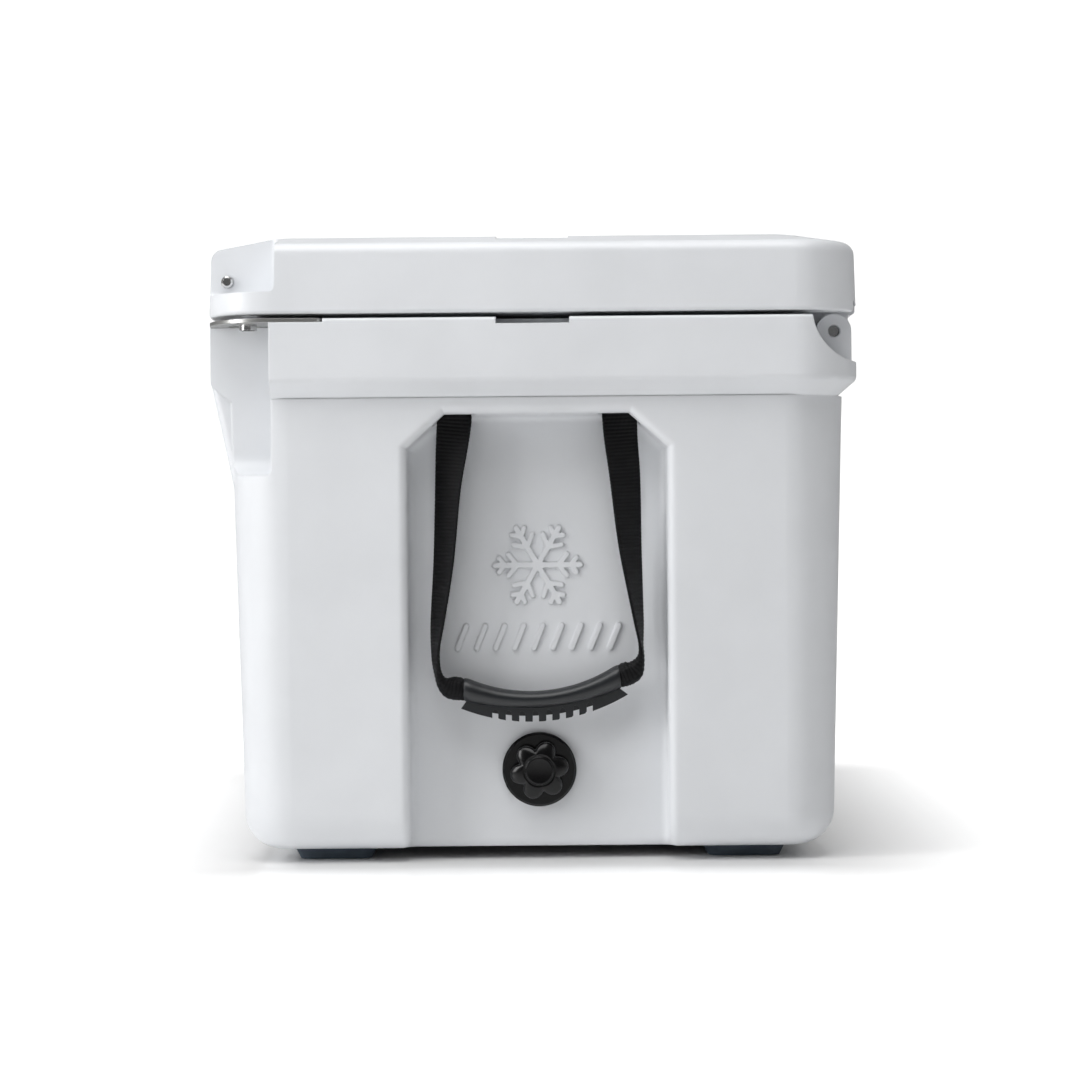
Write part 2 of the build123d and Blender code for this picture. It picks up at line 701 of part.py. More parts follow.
for name, side in sides.items():
    # Latch: a rubber T that hangs from its pin in the lid
    with BuildPart() as latch:
        low_x = side * latch_x - latch_width / 2
        rod((low_x, latch_pin_y, latch_pin_z), (1, 0, 0), latch_barrel_radius, latch_width)
        block(
            (low_x, low_x + latch_width),
            (latch_pin_y - latch_thickness / 2, latch_pin_y + latch_thickness / 2),
            (latch_pin_z, tee_z),
        )
        tee_start = (side * latch_x - tee_width / 2, latch_pin_y, tee_z)
        rod(tee_start, (1, 0, 0), tee_radius, tee_width)
        fillet(latch.faces().filter_by(Axis.X).sort_by(Axis.X)[-1].edges(), 1.5)
        fillet(latch.faces().filter_by(Axis.X).sort_by(Axis.X)[0].edges(), 1.5)
        # finger tab below the bar
        with BuildSketch(Plane.XZ.offset(-(latch_pin_y - 1))) as tab:
            with Locations((side * latch_x, tee_z - 7)):
                RectangleRounded(30, 16, 5)
        extrude(tab.sketch, amount=2.5, both=True)
        bore_start = (low_x - 5, latch_pin_y, latch_pin_z)
        bore_radius = latch_pin_radius + running_clearance
        rod(bore_start, (1, 0, 0), bore_radius, latch_width + 10, mode=Mode.SUBTRACT)
    latch.part.label = "latch_" + name
    export_step(latch.part, f"parts/latch_{name}.step")

    # Latch pin: a steel rod whose chamfered end shows in the corner cut
    with BuildPart() as latch_pin:
        start_x = latch_x - latch_width / 2 - latch_side_gap - 13
        reach = corner_cut_x + pin_proud - start_x
        rod((side * start_x, latch_pin_y, latch_pin_z), (side, 0, 0), latch_pin_radius, reach)
        chamfer(latch_pin.edges().filter_by(GeomType.CIRCLE), 1.2)
    latch_pin.part.label = "latch_pin_" + name
    export_step(latch_pin.part, f"parts/latch_pin_{name}.step")

    # Padlock plate: stainless sheet over the cut corner, with a bottle-opener slot
    with BuildPart() as lock_plate:
        with BuildSketch(Plane.XY.offset(plate_low_z)) as sheet:
            inner_x = side * (length / 2 - plate_width)
            outer_x = side * (length / 2 - 0.5)
            front_y = -depth / 2 + 0.4
            rear_y = -depth / 2 + plate_length
            with BuildLine():
                bend = corner_radius - 2
                p1 = (inner_x, front_y)
                p2 = (outer_x - side * bend, front_y)
                p3 = (outer_x, front_y + bend)
                p4 = (outer_x, rear_y)
                p5 = (inner_x, rear_y)
                Line(p1, p2)
                RadiusArc(p2, p3, -side * bend)
                Line(p3, p4)
                Line(p4, p5)
                Line(p5, p1)
            make_face()
            with Locations((side * lock_hole_x, lock_hole_y)):
                Circle(lock_hole_radius + bush_wall, mode=Mode.SUBTRACT)
            with Locations((side * (corner_cut_x + 7), lock_hole_y - 6)):
                SlotOverall(18, 9, rotation=90, mode=Mode.SUBTRACT)
        extrude(sheet.sketch, amount=plate_thickness)
        corners = lock_plate.edges().filter_by(Axis.Z).group_by(Axis.Y)[-1]
        fillet(corners, 5.0)
        for screw_x, screw_y in plate_screws:
            with Locations(Plane(origin=(side * screw_x, screw_y, rim_top_z), z_dir=(0, 0, 1))):
                CounterSinkHole(screw_radius + 0.1, screw_head_radius + 0.1, counter_sink_angle=90)
    lock_plate.part.label = "lock_plate_" + name
    export_step(lock_plate.part, f"parts/lock_plate_{name}.step")

    # Padlock bush: a steel tube swaged in the plate's hole
    with BuildPart() as lock_bush:
        bush_low = (side * lock_hole_x, lock_hole_y, rim_top_z - bush_length)
        rod(bush_low, (0, 0, 1), lock_hole_radius + bush_wall - 0.02, bush_length)
        rod(bush_low, (0, 0, 1), lock_hole_radius, bush_length, mode=Mode.SUBTRACT)
    lock_bush.part.label = "lock_bush_" + name
    export_step(lock_bush.part, f"parts/lock_bush_{name}.step")

    # Carry handle: webbing legs joined through the grip as one length
    handle_y = wall_mid_y
    grip_z = pivot_z - webbing_drop
    arc_mid_y = handle_y - grip_arc_radius * sin(radians(grip_tilt))
    arc_mid_z = grip_z + grip_arc_radius * cos(radians(grip_tilt))
    arc_middle = 270 + grip_tilt  # direction from the arc's centre to the grip's middle
    with BuildLine(Plane.YZ.offset(side * strap_x)) as grip_line:
        swing = degrees(asin(grip_chord / 2 / grip_arc_radius))
        tube_line = CenterArc((arc_mid_y, arc_mid_z), grip_arc_radius, arc_middle - swing, 2 * swing)
    with BuildLine(Plane.YZ.offset(side * strap_x)) as core_line:
        more = swing + 3.2
        web_line = CenterArc((arc_mid_y, arc_mid_z), grip_arc_radius, arc_middle - more, 2 * more)
    start, finish = web_line @ 0, web_line @ 1
    with BuildPart() as handle_strap:
        with BuildSketch(Plane(origin=start, z_dir=web_line % 0)) as section:
            Circle(grip_bore_radius - soft_gap)
        sweep(section.sketch, path=web_line)
        for leg, foot in ((-1, start), (1, finish)):
            with Locations(foot):
                Sphere(5.5)
            root_y = handle_y + leg * webbing_spacing / 2
            low_y = root_y + leg * leg_bulge
            low_z = foot.Z + 20
            with BuildSketch(Plane.YZ.offset(side * strap_x - webbing_thickness / 2)) as ribbon:
                with BuildLine():
                    Polyline(
                        (root_y - webbing_width / 2, pivot_z),
                        (root_y + leg * 5 - webbing_width / 2 + 2, (pivot_z + low_z) / 2 + 10),
                        (low_y - 3, low_z),
                        (foot.Y - 2.5, foot.Z),
                        (foot.Y + 2.5, foot.Z),
                        (low_y + 3, low_z),
                        (root_y + leg * 5 + webbing_width / 2 - 2, (pivot_z + low_z) / 2 + 10),
                        (root_y + webbing_width / 2, pivot_z),
                        close=True,
                    )
                make_face()
            extrude(ribbon.sketch, amount=webbing_thickness)
            turn_spot = (side * strap_x, root_y - webbing_width / 2, pivot_z)
            rod(turn_spot, (0, 1, 0), webbing_thickness / 2, webbing_width)
    handle_strap.part.label = "handle_strap_" + name
    export_step(handle_strap.part, f"parts/handle_strap_{name}.step")

    # Grip: moulded rubber tube with a slotted fin under it
    with BuildPart() as handle_grip:
        with BuildSketch(Plane(origin=tube_line @ 0, z_dir=tube_line % 0)) as section:
            Circle(grip_tube_radius)
        sweep(section.sketch, path=tube_line)
        with BuildSketch(Plane.YZ.offset(side * strap_x - grip_fin_thickness / 2)) as fin:
            with BuildLine():
                arc_middle_point = (arc_mid_y, arc_mid_z)
                low_radius = grip_arc_radius + grip_fin_depth
                high_radius = grip_arc_radius + grip_bore_radius + 2
                low_arc = CenterArc(arc_middle_point, low_radius, arc_middle - swing, 2 * swing)
                high_arc = CenterArc(arc_middle_point, high_radius, arc_middle - swing, 2 * swing)
                Line(low_arc @ 0, high_arc @ 0)
                Line(low_arc @ 1, high_arc @ 1)
            make_face()
        extrude(fin.sketch, amount=grip_fin_thickness)
        for slot in range(grip_slots):
            along = (slot - (grip_slots - 1) / 2) * grip_slot_pitch
            angle = arc_middle + degrees(along / grip_arc_radius)
            reach = grip_arc_radius + grip_fin_depth
            centre = (
                side * strap_x,
                arc_mid_y + reach * cos(radians(angle)),
                arc_mid_z + reach * sin(radians(angle)),
            )
            lean = Location(centre, (angle - 270, 0, 0))
            with Locations(lean):
                Box(grip_fin_thickness + 4, grip_slot_width, 2 * grip_slot_depth, mode=Mode.SUBTRACT)
        with BuildSketch(Plane(origin=start, z_dir=web_line % 0)) as section:
            Circle(grip_bore_radius)
        sweep(section.sketch, path=web_line, mode=Mode.SUBTRACT)
    handle_grip.part.label = "handle_grip_" + name
    export_step(handle_grip.part, f"parts/handle_grip_{name}.step")

    # The webbing's upper ends, looped round their pins inside the wall
    with BuildPart() as strap_loops:
        for leg in (-1, 1):
            leg_y = handle_y + leg * webbing_spacing / 2
            spot = (side * strap_x, leg_y - webbing_width / 2, strap_pin_z)
            rod(spot, (0, 1, 0), strap_pin_radius + soft_gap + webbing_thickness, webbing_width)
            block(
                (side * strap_x - webbing_thickness, side * strap_x + webbing_thickness),
                (leg_y - webbing_width / 2, leg_y + webbing_width / 2),
                (pivot_z + webbing_thickness / 2 + soft_gap, strap_pin_z),
            )
            rod(spot, (0, 1, 0), strap_pin_radius + soft_gap, webbing_width, mode=Mode.SUBTRACT)
    strap_loops.part.label = "strap_loops_" + name
    export_step(strap_loops.part, f"parts/strap_loops_{name}.step")

# Steel pins that the webbing loops hang on, moulded into the end walls
with BuildPart() as strap_pins:
    for side in (1, -1):
        for leg in (-1, 1):
            leg_y = wall_mid_y + leg * webbing_spacing / 2
            half = webbing_width / 2 + 2.0 + 4.8
            rod((side * strap_x, leg_y - half, strap_pin_z), (0, 1, 0), strap_pin_radius, 2 * half)
strap_pins.part.label = "strap_pins"
export_step(strap_pins.part, "parts/strap_pins.step")

# Countersunk screws of the padlock plates
with BuildPart() as lock_plate_screws:
    for side in (1, -1):
        for screw_x, screw_y in plate_screws:
            top = (side * screw_x, screw_y, rim_top_z - 0.1)
            rod(top, (0, 0, -1), screw_radius, screw_length - 0.1)
            head_height = screw_head_radius - screw_radius
            with Locations((side * screw_x, screw_y, rim_top_z - 0.1 - head_height / 2)):
                Cone(screw_radius, screw_head_radius, head_height)
            cross = (screw_cross_reach, screw_cross_half)
            for x_half, y_half in (cross, cross[::-1]):
                block(
                    (side * screw_x - x_half, side * screw_x + x_half),
                    (screw_y - y_half, screw_y + y_half),
                    (rim_top_z - 0.1 - screw_cross_depth, rim_top_z + 1),
                    mode=Mode.SUBTRACT,
                )
lock_plate_screws.part.label = "lock_plate_screws"
export_step(lock_plate_screws.part, "parts/lock_plate_screws.step")

# Drain fitting: flanged tube through the wall, clamped by a nut inside
flange_x = recess_x + drain_seal_thickness
flange_face_x = flange_x + drain_flange_thickness
drain_inner_x = drain_seat_x - drain_nut_thickness - 4.0
drain_axis = (wall_mid_y, drain_height)
with BuildPart() as drain_body:
    rod((flange_x, *drain_axis), (1, 0, 0), drain_flange_radius, drain_flange_thickness)
    chamfer(drain_body.faces().sort_by(Axis.X)[-1].edges(), 1.6)
    rod((drain_inner_x, *drain_axis), (1, 0, 0), drain_tube_radius, flange_x - drain_inner_x)
    bore_length = flange_face_x - drain_inner_x + 2
    rod((drain_inner_x - 1, *drain_axis), (1, 0, 0), drain_bore_radius, bore_length, mode=Mode.SUBTRACT)
drain_body.part.label = "drain_body"
export_step(drain_body.part, "parts/drain_body.step")

with BuildPart() as drain_seal:
    rod((recess_x, *drain_axis), (1, 0, 0), drain_flange_radius - 1.5, drain_seal_thickness)
    hole_radius = drain_tube_radius + 0.1
    rod((recess_x - 1, *drain_axis), (1, 0, 0), hole_radius, drain_seal_thickness + 2, mode=Mode.SUBTRACT)
drain_seal.part.label = "drain_seal"
export_step(drain_seal.part, "parts/drain_seal.step")

with BuildPart() as drain_nut:
    with BuildSketch(Plane.YZ.offset(drain_seat_x - drain_nut_thickness)) as hexagon:
        with Locations(drain_axis):
            RegularPolygon(drain_nut_radius, 6)
            Circle(drain_tube_radius + 0.05, mode=Mode.SUBTRACT)
    extrude(hexagon.sketch, amount=drain_nut_thickness)
drain_nut.part.label = "drain_nut"
export_step(drain_nut.part, "parts/drain_nut.step")

# Knob seal: the washer that the knob carries with it as it screws in and out
with BuildPart() as knob_seal:
    rod((flange_face_x, *drain_axis), (1, 0, 0), drain_bore_radius + 5.0, knob_seal_thickness)
    hole_radius = drain_bore_radius - 0.1
    hole_start = (flange_face_x - 1, *drain_axis)
    rod(hole_start, (1, 0, 0), hole_radius, knob_seal_thickness + 2, mode=Mode.SUBTRACT)
knob_seal.part.label = "knob_seal"
export_step(knob_seal.part, "parts/knob_seal.step")

# Drain knob: six-lobed head with a plain-modelled threaded shank
with BuildPart() as drain_knob:
    knob_x = flange_face_x + knob_seal_thickness
    with BuildSketch(Plane.YZ.offset(knob_x)) as head:
        with Locations(drain_axis):
            Circle(knob_radius - knob_lobe_radius - 1.5)
            with PolarLocations(knob_radius - knob_lobe_radius, knob_lobes, start_angle=knob_turn):
                Circle(knob_lobe_radius)
    extrude(head.sketch, amount=knob_thickness)
    chamfer(drain_knob.faces().sort_by(Axis.X)[-1].edges(), 1.2)
    rod((knob_x + knob_thickness, *drain_axis), (1, 0, 0), knob_cap_radius, knob_cap_height)
    chamfer(drain_knob.faces().sort_by(Axis.X)[-1].edges(), 1.4)
    shank_radius = drain_bore_radius - 0.2
    rod((knob_x - knob_shank_length, *drain_axis), (1, 0, 0), shank_radius, knob_shank_length)
drain_knob.part.label = "drain_knob"
export_step(drain_knob.part, "parts/drain_knob.step")

# Feet: tapered rubber blocks seated in the underside, with counterbored screw holes
for name, foot_mid in foot_places.items():
    with BuildPart() as foot:
        with BuildSketch(Plane.XY.offset(underside_z)) as top:
            with Locations(foot_mid):
                RectangleRounded(foot_length, foot_width, 12.0)
        extrude(top.sketch, amount=foot_pocket)
        extrude(top.sketch, amount=-foot_height, taper=degrees(atan2(foot_taper, foot_height)))
        for row in foot_screw_rows:
            spot = (foot_mid[0] + row, foot_mid[1], 0)
            rod(spot, (0, 0, 1), screw_radius + 0.05, 40, mode=Mode.SUBTRACT)
            rod(spot, (0, 0, 1), foot_bore_radius, foot_bore_depth, mode=Mode.SUBTRACT)
    foot.part.label = "foot_" + name
    export_step(foot.part, f"parts/foot_{name}.step")

# Pan-head screws of the feet
with BuildPart() as foot_screws:
    for foot_mid in foot_places.values():
        for row in foot_screw_rows:
            base = (foot_mid[0] + row, foot_mid[1], foot_bore_depth)
            rod(base, (0, 0, 1), screw_radius, foot_screw_length - foot_bore_depth)
            rod(base, (0, 0, -1), screw_head_radius, 3.0)
foot_screws.part.label = "foot_screws"
export_step(foot_screws.part, "parts/foot_screws.step")
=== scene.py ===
"""Looks of a rotomoulded cooler chest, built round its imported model.

Lengths are in metres; names in capitals that say MM, and outlines noted as mm, are in millimetres.
"""

from math import atan2, cos, hypot, pi, radians, sin

import bmesh
import bpy
import numpy as np
from mathutils import Matrix, Vector


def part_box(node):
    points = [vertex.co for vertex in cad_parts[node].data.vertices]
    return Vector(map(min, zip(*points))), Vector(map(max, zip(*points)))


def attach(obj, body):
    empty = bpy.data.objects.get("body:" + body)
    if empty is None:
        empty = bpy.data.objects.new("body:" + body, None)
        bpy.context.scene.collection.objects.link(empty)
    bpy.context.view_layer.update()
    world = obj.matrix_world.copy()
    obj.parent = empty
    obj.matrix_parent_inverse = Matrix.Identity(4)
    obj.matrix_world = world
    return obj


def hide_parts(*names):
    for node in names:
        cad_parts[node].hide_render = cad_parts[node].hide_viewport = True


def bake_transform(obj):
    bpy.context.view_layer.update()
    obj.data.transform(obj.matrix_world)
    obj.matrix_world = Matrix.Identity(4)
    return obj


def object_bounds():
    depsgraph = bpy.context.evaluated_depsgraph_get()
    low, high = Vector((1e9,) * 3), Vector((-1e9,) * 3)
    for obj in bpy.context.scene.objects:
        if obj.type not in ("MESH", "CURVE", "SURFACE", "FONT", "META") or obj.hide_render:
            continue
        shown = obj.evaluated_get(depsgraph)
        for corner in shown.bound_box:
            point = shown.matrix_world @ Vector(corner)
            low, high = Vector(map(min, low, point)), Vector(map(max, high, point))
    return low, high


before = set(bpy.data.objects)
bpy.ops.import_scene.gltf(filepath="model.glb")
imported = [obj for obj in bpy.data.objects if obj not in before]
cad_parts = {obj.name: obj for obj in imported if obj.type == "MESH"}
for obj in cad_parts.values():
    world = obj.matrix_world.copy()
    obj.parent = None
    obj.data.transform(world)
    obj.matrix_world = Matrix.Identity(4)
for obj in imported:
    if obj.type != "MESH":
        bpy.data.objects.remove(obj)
cad_low, cad_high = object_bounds()
MM = 0.001

# ---------------------------------------------------------------- studio
# A white sweep of matt board under a large soft box, with a second box to the left and a
# white room all round. The camera looks level at the chest's drain end from 1.8 m.
scene = bpy.context.scene
scene.view_settings.view_transform = "Standard"
end_x = cad_high.x
camera_distance = 1.8
camera_side = 0.0037  # along Y from the chest's middle
camera_height = 0.217
camera_roll = -0.5  # degrees
view_width = 0.7184  # of the frame, at the chest's near end
camera = bpy.data.objects.new("camera", bpy.data.cameras.new("camera"))
scene.collection.objects.link(camera)
camera.data.sensor_width = 36.0
camera.data.lens = camera.data.sensor_width * camera_distance / view_width
camera_place = Matrix.Translation((end_x + camera_distance, camera_side, camera_height))
camera_turn = Matrix.Rotation(radians(90), 4, "Z") @ Matrix.Rotation(radians(90), 4, "X")
camera.matrix_world = camera_place @ camera_turn @ Matrix.Rotation(radians(camera_roll), 4, "Z")
scene.camera = camera


def srgb(code):
    """Linear RGBA of an sRGB hex colour."""
    channels = [int(code[at : at + 2], 16) / 255 for at in (1, 3, 5)]
    linear = [c / 12.92 if c <= 0.04045 else ((c + 0.055) / 1.055) ** 2.4 for c in channels]
    return (*linear, 1.0)


def add(tree, kind, inputs=(), **settings):
    """A node with its settings, and its inputs set to values or linked to sockets."""
    made = tree.nodes.new(kind)
    for name, value in settings.items():
        setattr(made, name, value)
    for name, value in dict(inputs).items():
        if isinstance(value, bpy.types.NodeSocket):
            tree.links.new(value, made.inputs[name])
        else:
            made.inputs[name].default_value = value
    return made


def material(name, look):
    """A material, its tree and its Principled shader, with the shader's own sockets set."""
    made = bpy.data.materials.new(name)
    made.use_nodes = True
    shader = made.node_tree.nodes["Principled BSDF"]
    for socket, value in look.items():
        shader.inputs[socket].default_value = value
    return made, made.node_tree, shader


def mesh_object(name, vertices, faces, smooth=True):
    """A new object at the origin from points and faces."""
    mesh = bpy.data.meshes.new(name)
    mesh.from_pydata([tuple(v) for v in vertices], [], faces)
    mesh.validate()
    if smooth:
        mesh.shade_smooth()
    made = bpy.data.objects.new(name, mesh)
    scene.collection.objects.link(made)
    return made


# Board: floor that turns up behind the chest in a wide curve
board_half = 6.0
board_back_x = -5.0
board_front_x = 6.0
board_bend = 1.5
board_height = 6.0
board_steps = 16
board_drop = 0.0002  # below the feet, so that the two faces don't flicker
bend_x = board_back_x + board_bend
board_profile = [(board_front_x, 0.0), (bend_x, 0.0)]
for step in range(1, board_steps + 1):
    angle = radians(90) * step / board_steps
    board_profile.append((bend_x - board_bend * sin(angle), board_bend * (1 - cos(angle))))
board_profile.append((board_back_x, board_height))
board_points = [(x, y, z - board_drop) for x, z in board_profile for y in (-board_half, board_half)]
board_faces = [(2 * i, 2 * i + 1, 2 * i + 3, 2 * i + 2) for i in range(len(board_profile) - 1)]
board = mesh_object("studio_board", board_points, board_faces)
board_white, tree, shader = material(
    "studio_board_white",
    {
        "Base Color": srgb("#FFFFFF"),
        "Roughness": 0.14,
        "Specular IOR Level": 0.35,
        "Emission Color": srgb("#FFFFFF"),
    },
)
# The board is lit to pure white away from the chest, in the picture only, and keeps its shadow
SHADOW_INSET = (0.0, 0.03)  # X and Y: where the light starts, inside the chest's own print
SHADOW_FADE = 0.2
BOARD_GLOW = 0.8
half_print = tuple(max(-cad_low[i], cad_high[i]) - SHADOW_INSET[i] for i in range(2))
coords = add(tree, "ShaderNodeTexCoord").outputs["Object"]
away = add(tree, "ShaderNodeVectorMath", {"Vector": coords}, operation="ABSOLUTE")
away = add(tree, "ShaderNodeVectorMath", {0: away.outputs[0], 1: (*half_print, 0.0)}, operation="SUBTRACT")
away = add(tree, "ShaderNodeVectorMath", {0: away.outputs[0], 1: (0.0, 0.0, 0.0)}, operation="MAXIMUM")
away = add(tree, "ShaderNodeVectorMath", {0: away.outputs[0]}, operation="LENGTH")
lit = add(
    tree,
    "ShaderNodeMapRange",
    {"Value": away.outputs["Value"], "From Min": 0.0, "From Max": SHADOW_FADE, "To Max": BOARD_GLOW},
)
seen = add(tree, "ShaderNodeLightPath").outputs["Is Camera Ray"]
lit = add(tree, "ShaderNodeMath", {0: lit.outputs["Result"], 1: seen}, operation="MULTIPLY")
tree.links.new(lit.outputs["Value"], shader.inputs["Emission Strength"])
board.data.materials.append(board_white)


def soft_box(name, place, aim, size, power, colour="#FFFFFF"):
    """A rectangular studio light that points at a spot."""
    light = bpy.data.lights.new(name, "AREA")
    light.shape = "RECTANGLE"
    light.size, light.size_y = size
    light.energy = power
    light.color = srgb(colour)[:3]
    made = bpy.data.objects.new(name, light)
    turn = (Vector(aim) - Vector(place)).to_track_quat("-Z", "Y")
    made.matrix_world = Matrix.Translation(place) @ turn.to_matrix().to_4x4()
    scene.collection.objects.link(made)
    return made


chest_middle = (0.0, 0.0, 0.22)
soft_box("top_box", (0.9, -0.4, 2.3), chest_middle, (2.2, 1.8), 43.0)
soft_box("left_box", (1.3, -2.3, 1.1), chest_middle, (1.0, 1.6), 36.0)
soft_box("right_box", (1.2, 2.4, 0.9), chest_middle, (0.7, 1.4), 2.0)

world = bpy.data.worlds.new("studio_room")
scene.world = world
world.use_nodes = True
room = world.node_tree
room.nodes["Background"].inputs["Color"].default_value = srgb("#FFFFFF")
# The room is darker behind the camera, so black parts stay black, and is pure white where it is seen
heading = add(room, "ShaderNodeTexCoord").outputs["Generated"]
heading = add(room, "ShaderNodeSeparateXYZ", {"Vector": heading}).outputs["X"]
dim = add(
    room,
    "ShaderNodeMapRange",
    {"Value": heading, "From Min": 0.1, "From Max": 0.8, "To Min": 0.33, "To Max": 0.14},
)
seen = add(room, "ShaderNodeLightPath").outputs["Is Camera Ray"]
dim = add(room, "ShaderNodeMath", {0: dim.outputs["Result"], 1: seen}, operation="MAXIMUM")
room.links.new(dim.outputs["Value"], room.nodes["Background"].inputs["Strength"])

# ---------------------------------------------------------------- body and lid shells
# Both shells are rotationally moulded linear polyethylene, white pigmented. The mould's
# cast wall leaves a satin surface with a faint, soft ripple, and every edge is rounded.
EDGE_ROUND = 1.6 * MM
RIPPLE_MM = 9.0
GRAIN_MM = 0.7
shell_white, tree, shader = material(
    "rotomoulded_polyethylene",
    {"Base Color": srgb("#DFE1E4"), "Roughness": 0.36, "IOR": 1.51, "Specular IOR Level": 0.5},
)
coords = add(tree, "ShaderNodeTexCoord").outputs["Object"]
ripple = add(tree, "ShaderNodeTexNoise", {"Vector": coords, "Scale": 1 / (RIPPLE_MM * MM), "Detail": 1.0})
grain = add(tree, "ShaderNodeTexNoise", {"Vector": coords, "Scale": 1 / (GRAIN_MM * MM), "Detail": 2.0})
rounded = add(tree, "ShaderNodeBevel", {"Radius": EDGE_ROUND}, samples=4)
soft_ripple = add(
    tree,
    "ShaderNodeBump",
    {"Height": ripple.outputs[0], "Distance": 0.12 * MM, "Strength": 0.35, "Normal": rounded.outputs[0]},
)
fine_grain = add(
    tree,
    "ShaderNodeBump",
    {"Height": grain.outputs[0], "Distance": 0.03 * MM, "Strength": 0.3, "Normal": soft_ripple.outputs[0]},
)
tree.links.new(fine_grain.outputs["Normal"], shader.inputs["Normal"])
patches = add(tree, "ShaderNodeTexNoise", {"Vector": coords, "Scale": 14.0, "Detail": 3.0})
tint = add(tree, "ShaderNodeValToRGB", {"Fac": patches.outputs["Fac"]})
tint.color_ramp.elements[0].position = 0.3
tint.color_ramp.elements[0].color = srgb("#DCDEE1")
tint.color_ramp.elements[1].position = 0.7
tint.color_ramp.elements[1].color = srgb("#E1E3E6")
tree.links.new(tint.outputs["Color"], shader.inputs["Base Color"])
gloss = add(tree, "ShaderNodeMapRange", {"Value": patches.outputs["Fac"], "To Min": 0.33, "To Max": 0.41})
tree.links.new(gloss.outputs["Result"], shader.inputs["Roughness"])


def give(made, *names):
    """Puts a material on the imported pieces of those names."""
    for name in names:
        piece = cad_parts[name]
        if not piece.material_slots:
            piece.data.materials.append(made)
        for place in piece.material_slots:
            place.material = made


give(shell_white, "body_shell", "body_liner", "lid_shell")

# ---------------------------------------------------------------- carry handle webbing
# Black nylon webbing, 24 mm wide, woven with a heavy cross rib every 2.5 mm. Each leg loops
# round a steel pin inside the wall, twists as it hangs and gathers into the end of the grip.
RIB_PITCH_MM = 2.5
RIB_HEIGHT_MM = 0.35
YARN_MM = 0.9
STATIONS_PER_RIB = 6
SECTION_POINTS = 28
webbing_nylon, tree, shader = material(
    "woven_nylon_webbing",
    {"Base Color": srgb("#060607"), "Roughness": 0.55, "Specular IOR Level": 0.16},
)
along = add(tree, "ShaderNodeAttribute", attribute_name="along_mm").outputs["Fac"]
across = add(tree, "ShaderNodeAttribute", attribute_name="across_mm").outputs["Fac"]
rib_turn = add(tree, "ShaderNodeMath", {0: along, 1: pi / RIB_PITCH_MM}, operation="MULTIPLY")
rib_wave = add(tree, "ShaderNodeMath", {0: rib_turn.outputs[0]}, operation="SINE")
rib_crest = add(tree, "ShaderNodeMath", {0: rib_wave.outputs[0]}, operation="ABSOLUTE")
yarn_turn = add(tree, "ShaderNodeMath", {0: across, 1: 2 * pi / YARN_MM}, operation="MULTIPLY")
yarn_wave = add(tree, "ShaderNodeMath", {0: yarn_turn.outputs[0]}, operation="SINE")
yarn_bump = add(
    tree, "ShaderNodeBump", {"Height": yarn_wave.outputs[0], "Distance": 0.1 * MM, "Strength": 0.5}
)
tree.links.new(yarn_bump.outputs["Normal"], shader.inputs["Normal"])
# The rib crests are coloured paler than the troughs between them: a painted highlight along each rib, over
# the black nylon.
painted_rib_highlight = add(tree, "ShaderNodeValToRGB", {"Fac": rib_crest.outputs[0]})
painted_rib_highlight.color_ramp.elements[0].color = srgb("#010102")
painted_rib_highlight.color_ramp.elements[1].color = srgb("#0F0F11")
tree.links.new(painted_rib_highlight.outputs["Color"], shader.inputs["Base Color"])

# The ribs stand out of the plain ribbon by this tree, which reads how far along each point lies
ribs = bpy.data.node_groups.new("woven_ribs", "GeometryNodeTree")
ribs.interface.new_socket("Geometry", in_out="INPUT", socket_type="NodeSocketGeometry")
pitch_input = ribs.interface.new_socket("Rib pitch", in_out="INPUT", socket_type="NodeSocketFloat")
height_input = ribs.interface.new_socket("Rib height", in_out="INPUT", socket_type="NodeSocketFloat")
fabric_input = ribs.interface.new_socket("Fabric", in_out="INPUT", socket_type="NodeSocketMaterial")
ribs.interface.new_socket("Geometry", in_out="OUTPUT", socket_type="NodeSocketGeometry")
given = add(ribs, "NodeGroupInput").outputs
reach = add(ribs, "GeometryNodeInputNamedAttribute", {"Name": "along_mm"}, data_type="FLOAT").outputs[0]
turns = add(ribs, "ShaderNodeMath", {0: reach, 1: given["Rib pitch"]}, operation="DIVIDE")
phase = add(ribs, "ShaderNodeMath", {0: turns.outputs[0], 1: pi}, operation="MULTIPLY")
wave = add(ribs, "ShaderNodeMath", {0: phase.outputs[0]}, operation="SINE")
crest = add(ribs, "ShaderNodeMath", {0: wave.outputs[0]}, operation="ABSOLUTE")
lift = add(ribs, "ShaderNodeMath", {0: crest.outputs[0], 1: given["Rib height"]}, operation="MULTIPLY")
normal = add(ribs, "GeometryNodeInputNormal").outputs["Normal"]
shift = add(ribs, "ShaderNodeVectorMath", {0: normal, "Scale": lift.outputs[0]}, operation="SCALE")
ribbed = add(ribs, "GeometryNodeSetPosition", {"Geometry": given["Geometry"], "Offset": shift.outputs[0]})
real = add(ribs, "GeometryNodeRealizeInstances", {"Geometry": ribbed.outputs[0]})
dyed = add(ribs, "GeometryNodeSetMaterial", {"Geometry": real.outputs[0], "Material": given["Fabric"]})
add(ribs, "NodeGroupOutput", {"Geometry": dyed.outputs[0]})


def settle(made):
    """Turns an object's evaluated shape into its own plain mesh, with no modifier left."""
    graph = bpy.context.evaluated_depsgraph_get()
    shape = bpy.data.meshes.new_from_object(made.evaluated_get(graph))
    made.modifiers.clear()
    made.data = shape
    return made


CURVE_STEPS = 60  # between two given rows


